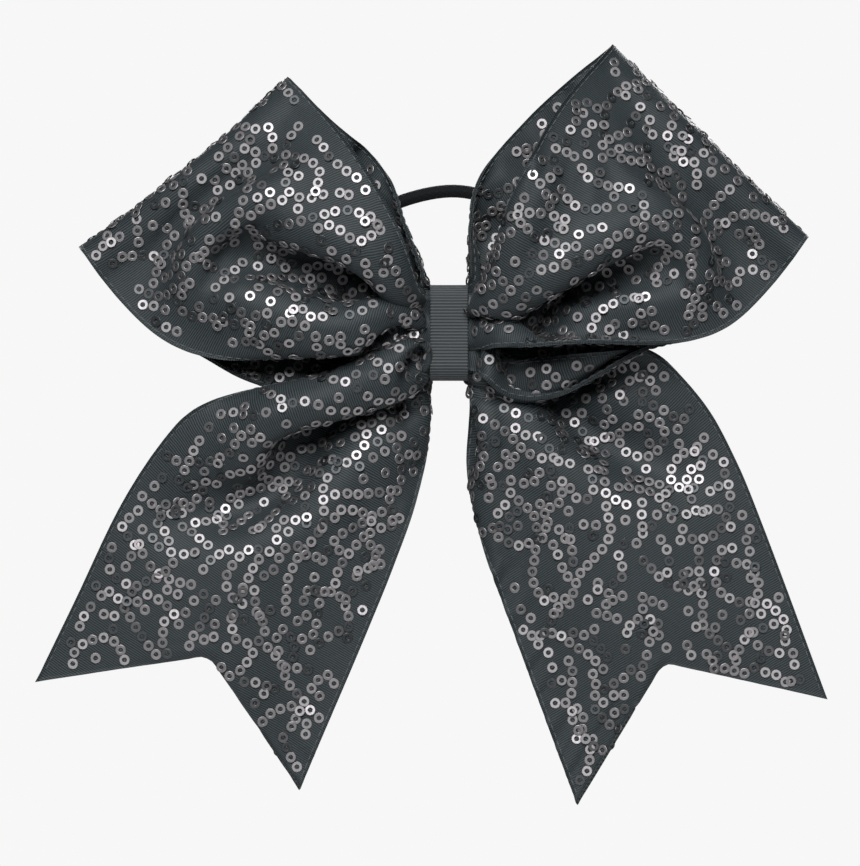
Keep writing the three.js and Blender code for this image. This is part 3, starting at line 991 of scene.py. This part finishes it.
def frames_at(ribbon, places, face):
    """Points on one face of the ribbon, with the face's normal and the ribbon's direction there."""
    rows, cols = np.array([ribbon.place(u, w) for u, w in places[:, :2]]).T
    normals = grid_normals(ribbon.grid)
    point = sample(ribbon.grid, rows, cols)
    normal = unit(sample(normals, rows, cols))
    along = sample(np.gradient(ribbon.grid, axis=0), rows, cols)
    along = unit(along - normal * np.sum(along * normal, axis=1, keepdims=True))
    side = np.cross(normal, along)
    top = point + normal * face * (PLY_LIFT + PLY)
    return top, normal * face, along, side


def sequin_mesh(name, ribbon, places, face):
    """All the sequins of one face, each with its own tilt and tone."""
    top, normal, along, side = frames_at(ribbon, places, face)
    count = len(places)
    draw = np.random.default_rng(count)
    tilt = draw.normal(0, SEQUIN_TILT, (count, 2))
    up = unit(normal + along * tilt[:, :1] + side * tilt[:, 1:])
    sideways = unit(np.cross(up, along))
    forward = np.cross(sideways, up)
    lift = 0.06 + SEQUIN_RADIUS * np.hypot(tilt[:, 0], tilt[:, 1])
    for k in range(count):
        gaps = np.hypot(*(places[:k, :2] - places[k, :2]).T)
        lift[k] += LAP_RISE * np.sum(gaps < 2 * SEQUIN_RADIUS - 0.05)
    ring, faces = washer()
    points = (top + up * lift[:, None])[:, None]
    for part, way in enumerate((forward, sideways, up)):
        points = points + way[:, None] * ring[None, :, part, None]
    all_faces = (faces[None] + (np.arange(count) * len(ring))[:, None, None]).reshape(-1, 4)
    values = np.repeat(draw.random(count), len(ring))
    made = make_mesh(name, points.reshape(-1, 3), all_faces, sequin, None, values)
    made.data.polygons.foreach_set("use_smooth", np.zeros(len(made.data.polygons), bool))
    return made


def stitch_mesh(name, ribbon, lines, radius, face):
    """Raised stitches, each from a flat line of places."""
    angle = np.linspace(0, 2 * np.pi, STITCH_SIDES, endpoint=False)
    vertices = []
    for line in lines:
        top, normal, _, _ = frames_at(ribbon, line, face)
        side = np.cross(unit(np.gradient(top, axis=0)), normal)
        t = even(len(line))
        girth = radius * np.clip(np.sin(np.pi * (0.08 + 0.84 * t)), 0.2, 1) ** 0.5
        rise = radius * (0.15 + 0.75 * np.sin(np.pi * t))
        rings = rings_round(side, normal, angle) * girth[:, None, None]
        vertices.append(((top + normal * rise[:, None])[:, None] + rings).reshape(-1, 3))
    faces = []
    start = 0
    for stitch in vertices:
        faces += tube_faces(len(stitch) // STITCH_SIDES, STITCH_SIDES, start)
        faces += [[start + k for k in half] for half in ((5, 4, 3, 2), (5, 2, 1, 0))]
        start += len(stitch)
        last = start - STITCH_SIDES
        faces += [[last + k for k in half] for half in ((0, 1, 2, 3), (0, 3, 4, 5))]
    return make_mesh(name, np.concatenate(vertices), faces, thread)


def selvedge_stitches(ribbon, low, high):
    """Flat lines of the stitches along both selvedges."""
    length, margin = EDGE_STITCH["length"], EDGE_STITCH["margin"]
    lines = []
    for w in (margin, WIDTH - margin):
        for u in np.arange(low, high, EDGE_STITCH["pitch"]):
            if ribbon.covers(u, w) and ribbon.covers(u + length, w):
                run = np.linspace(u, u + length, 4)
                lines.append(np.stack([run, np.full(4, w)], axis=1))
    return lines


def chain_threads(places):
    """Short threads over each sequin's rim, towards the one before it in its chain."""
    lines = []
    run = np.linspace(CHAIN_THREAD["start"], CHAIN_THREAD["end"], 4)
    for u, w, heading in places:
        lines.append(np.stack([u - run * math.cos(heading), w - run * math.sin(heading)], axis=1))
    return lines


# ------------ build

cloth = cloth_look("sequin_cloth")
gathered = cloth_look("gathered_cloth")
sequin = sequin_look()
thread = thread_look()
grosgrain = grosgrain_look()
braid = braid_look()
rubber = cloudy_look("rubber", 700, (0.012, 0.012, 0.012), (0.035, 0.034, 0.032), (0.25, 0.5), (0.2, 0.0001))
glue = cloudy_look(
    "glue", 350, (0.55, 0.52, 0.44), (0.74, 0.71, 0.62), (0.2, 0.25), (0.25, 0.0003), Subsurface_Weight=0.2,
)


def bends_with(piece, part):
    """Bakes a piece's placement into its mesh, alike for loops and tails."""
    if part == "loop":
        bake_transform(piece)
    else:
        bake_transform(piece)


def add_ribbon(side, part, ribbon, low, high, names):
    """Both plies of a loop or tail, with their sequins and stitches."""
    sign = 1 if side == "left" else -1
    prefix = f"{side}_{part}"
    fine = finer(ribbon.grid, 2)
    flat = finer(ribbon.flat, 2)
    normals = grid_normals(fine)
    for order, (face_name, face) in enumerate(zip(names, (sign, -sign), strict=True)):
        offsets = (face * PLY_LIFT, face * (PLY_LIFT + PLY))
        ply = f"{prefix}_{face_name}"
        piece = closed_sheet(f"{ply}_cloth", fine, normals, *offsets, flat, cloth)
        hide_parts(f"{ply}_ply")
        seed = 11 + order + 2 * len(prefix) + ord(side[0])
        places = sewn_chains(ribbon, high, seed)
        rings = sequin_mesh(f"{ply}_sequins", ribbon, places, face)
        lines = selvedge_stitches(ribbon, low, high)
        edge = stitch_mesh(f"{ply}_edge_stitches", ribbon, lines, EDGE_STITCH["radius"], face)
        lines = chain_threads(places)
        sewn = stitch_mesh(f"{ply}_sequin_threads", ribbon, lines, CHAIN_THREAD["radius"], face)
        if order == 0:
            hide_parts(f"{prefix}_upper_stitching", f"{prefix}_lower_stitching")
        for made in (piece, rings, edge, sewn):
            bends_with(made, part)
        width, length, area = ribbon.cut_size()


def fix_to(body, piece, node):
    """Says which body a piece rides on, and the CAD node that it replaces."""
    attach(piece, body)
    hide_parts(node)


def add_gathers(name, left, right, node):
    """A pleated pass of ribbon through the knot, between two pinched sections."""
    v = even(57)
    ends = []
    for x, route in ((-INSIDE_BAND, left), (INSIDE_BAND, right)):
        z, y = pinch_places(route, v)
        ends.append(np.stack([np.full_like(v, x), y, z], axis=1))
    t = even(17)[:, None, None]
    grid = ends[0][None] * (1 - t) + ends[1][None] * t
    flat = together(grid[:, :, 0], v[None] * WIDTH)
    piece = closed_sheet(name, grid, grid_normals(grid), -PLY, PLY, flat, gathered)
    fix_to("knot", piece, node)


for side in ("left", "right"):
    loop = Loop(side)
    add_ribbon(side, "loop", loop, FIRST_U, 2 * loop.low - FIRST_U, ("outer", "inner"))
    tail = Tail(side)
    add_ribbon(side, "tail", tail, 0, TAIL_SEARCH, ("front", "back"))

add_gathers("front_pleats", LOOPS["left"]["front"], LOOPS["right"]["front"], "front_gathers")
add_gathers("left_tail_pleats", TAILS["left"], LOOPS["right"]["back"], "left_tail_crossing")
add_gathers("right_tail_pleats", LOOPS["left"]["back"], TAILS["right"], "right_tail_crossing")


def arc(centre, radius, start, end, count):
    """Points on an arc, between two angles in degrees."""
    angle = np.radians(np.linspace(start, end, count))
    return [(centre[0] + radius * math.cos(a), centre[1] + radius * math.sin(a)) for a in angle]


def band_path():
    """The band's centre line as (y, z): up the inside at the back, round the front, and over."""
    half = BAND["strip"] / 2
    inner, outer, front = BAND_BACK_INNER + half, -half, BAND_FRONT + half
    reach = BAND["top"] - half
    wide, tight = BAND["corner"], BAND["back_corner"]
    path = [(inner, BAND["lap"])]
    path += arc((inner - tight, tight - reach), tight, 0, -90, 9)
    path += arc((front + wide, wide - reach), wide, -90, -180, 25)
    path += arc((front + wide, reach - wide), wide, 180, 90, 25)
    path += arc((outer - tight, reach - tight), tight, 90, 0, 9)
    path.append((outer, -BAND["lap"]))
    return np.array(path)


def add_band():
    """Grosgrain: rounded ribs across the strip, with a scalloped selvedge at each side."""
    path = band_path()
    length = travelled(path)[-1]
    rows = int(length / RIB_PITCH * BAND_ROWS)
    line = resample(path, even(rows + 1))
    step = unit(np.gradient(line, axis=0))
    out = np.stack([step[:, 1], -step[:, 0]], axis=1)
    if np.sum(out * (line - line.mean(axis=0))) < 0:
        out = -out
    along = np.linspace(0, length, rows + 1)
    wave = 0.5 + 0.5 * np.cos(2 * np.pi * along / RIB_PITCH)
    half_shares = np.array([0.25, 0.5, 0.7, 0.9, 0.95, 0.985, 1])
    share = np.concatenate([-half_shares[::-1], [0], half_shares])
    scallop, groove, welt, thinned = 0.16, 0.2, 0.06, 0.16
    half = BAND["width"] / 2 - scallop * (1 - wave)
    edge = welt * np.exp(-(((np.abs(share) - 0.95) / 0.03) ** 2)) - thinned * (np.abs(share) > 0.99)
    height = BAND["strip"] / 2 - groove * (1 - wave)[:, None] + edge[None]
    grid = together(half[:, None] * share, line[:, :1], line[:, 1:])
    normals = together(0 * share, out[:, :1], out[:, 1:])
    flat = together(along[:, None], grid[:, :, 0])
    inside = -BAND["strip"] / 2
    piece = closed_sheet("grosgrain_band", grid, normals, inside, height[:, :, None], flat, grosgrain)
    fix_to("knot", piece, "centre_band")


def add_binding():
    """Thread wound round the gathers, under the band."""
    front, back, top, corner, wide = -15.2, -7.2, 12.0, 1.2, 3.4
    middle, depth = (front + back) / 2, (back - front) / 2
    turn = [
        (depth, 0), (depth, top - corner), (depth - corner, top), (wide - depth, top),
        (-depth, top - wide), (-depth, 0), (-depth, wide - top), (wide - depth, -top),
        (depth - corner, -top), (depth, corner - top),
    ]
    turns, pitch, radius, twist = 4, 1.1, 0.26, 0.04
    points = []
    for i in range(turns * len(turn) + 1):
        y, z = turn[i % len(turn)]
        points.append((pitch * (i / len(turn) - turns / 2), middle + y, z))
    path = resample(catmull(points, 8), even(700))

    def plies(s, a):
        return twist * np.cos(2 * a + 7 * s)

    piece = tube_mesh("wound_thread", path, radius, 8, thread, plies)
    fix_to("knot", piece, "binding_thread")


def add_hair_tie():
    """The braided sheath, with raised strands that cross."""
    route = np.array(TIE_ROUTE, float) + [0, TIE_Y, 0]
    fine = catmull(route, 60)
    length = travelled(fine)[-1]
    spacing, sides, count, lay, depth = 0.28, 60, 10, 3.0, 0.07
    path = resample(fine, even(int(length / spacing)))

    def strands(s, a):
        one = np.cos(count * a + lay * s)
        two = np.cos(count * a - lay * s)
        return depth * np.maximum(one, two) - depth

    piece = tube_mesh("braided_sheath", path, TIE_RADIUS, sides, braid, strands)
    fix_to("hair_tie", piece, "hair_tie_sheath")
    spaced = resample(fine, even(160)) * MM


def add_glue():
    """A pressed blob of glue between the band's ends."""
    wide, thick, tall, middle = 3.3, 0.22, 4.3, -1.275
    around, rings = 48, 23
    t = np.linspace(-np.pi / 2, np.pi / 2, rings + 2)[1:-1, None]
    a = np.linspace(0, 2 * np.pi, around, endpoint=False)[None]
    blob = 1 + 0.05 * np.cos(3 * a + 0.5) + 0.03 * np.cos(5 * a)
    x = wide * np.cos(t) ** 0.5 * np.cos(a) * blob
    z = tall * np.cos(t) ** 0.5 * np.sin(a) * blob
    y = middle + thick * np.sign(t) * np.abs(np.sin(t)) ** 0.4 + 0 * a
    body = np.stack([x, y, z], axis=2).reshape(-1, 3)
    vertices = np.vstack([body, [[0, middle - thick, 0]], [[0, middle + thick, 0]]])
    faces = [[p, s, r, q] for p, q, r, s in tube_faces(rings, around)]
    last = (rings - 1) * around
    for k in range(around):
        n = (k + 1) % around
        faces.append([k, n, len(body)])
        faces.append([last + n, last + k, len(body) + 1])
    piece = make_mesh("glue_blob", vertices, faces, glue)
    fix_to("knot", piece, "band_glue")


add_band()
add_binding()
add_hair_tie()
add_glue()
for node in ("hair_tie_core", "hair_tie_joint"):
    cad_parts[node].data.materials.clear()
    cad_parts[node].data.materials.append(rubber)

# ------------ camera, lights and floor

camera_data = bpy.data.cameras.new("camera")
camera_data.lens = SENSOR_WIDTH * CAMERA_DISTANCE / VIEW_WIDTH
camera_data.clip_end = 20
camera = new_object("camera", camera_data)
camera.location = (CAMERA_CENTRE[0] * MM, (MIDDLE_Y - CAMERA_DISTANCE) * MM, CAMERA_CENTRE[1] * MM)
camera.rotation_euler = (math.pi / 2, 0, 0)
bpy.context.scene.camera = camera


def add_light(name, place, size, power):
    """A square light that faces the bow."""
    data = bpy.data.lights.new(name, "AREA")
    data.size = size
    data.energy = power
    made = new_object(name, data)
    made.location = place
    x, y, z = np.array(LIT_PLACE) - place
    made.rotation_euler = (math.atan2(math.hypot(x, y), -z), 0, math.atan2(y, x) - math.pi / 2)
    made.visible_camera = False


add_light("key", (-0.1, -1.25, 0.75), 0.85, 22)
add_light("back", (0.2, 1.05, 0.8), 0.8, 15)

studio = Nodes("studio", bpy.data.worlds, "Background")
shown = studio.mix(studio.camera_ray(), (0.03, 0.032, 0.034), (0.93, 0.93, 0.93))
studio.join(shown, studio.shader.inputs["Color"])
bpy.context.scene.world = studio.owner
bpy.context.scene.view_settings.view_transform = "Standard"

paper = Nodes("paper")
colour = paper.mix(paper.noise(40, 3), (0.84, 0.84, 0.84), (0.9, 0.9, 0.9))
paper.surface(colour, 0.8, Emission_Color=(0.9, 0.9, 0.9, 1))
glow = paper.math("MULTIPLY", paper.camera_ray(), 0.4)
paper.join(glow, paper.shader.inputs["Emission Strength"])
corners = [(x * FLOOR_HALF, y * FLOOR_HALF, FLOOR_Z) for x, y in ((-1, -1), (1, -1), (1, 1), (-1, 1))]
make_mesh("floor", corners, [(0, 1, 2, 3)], paper.owner)
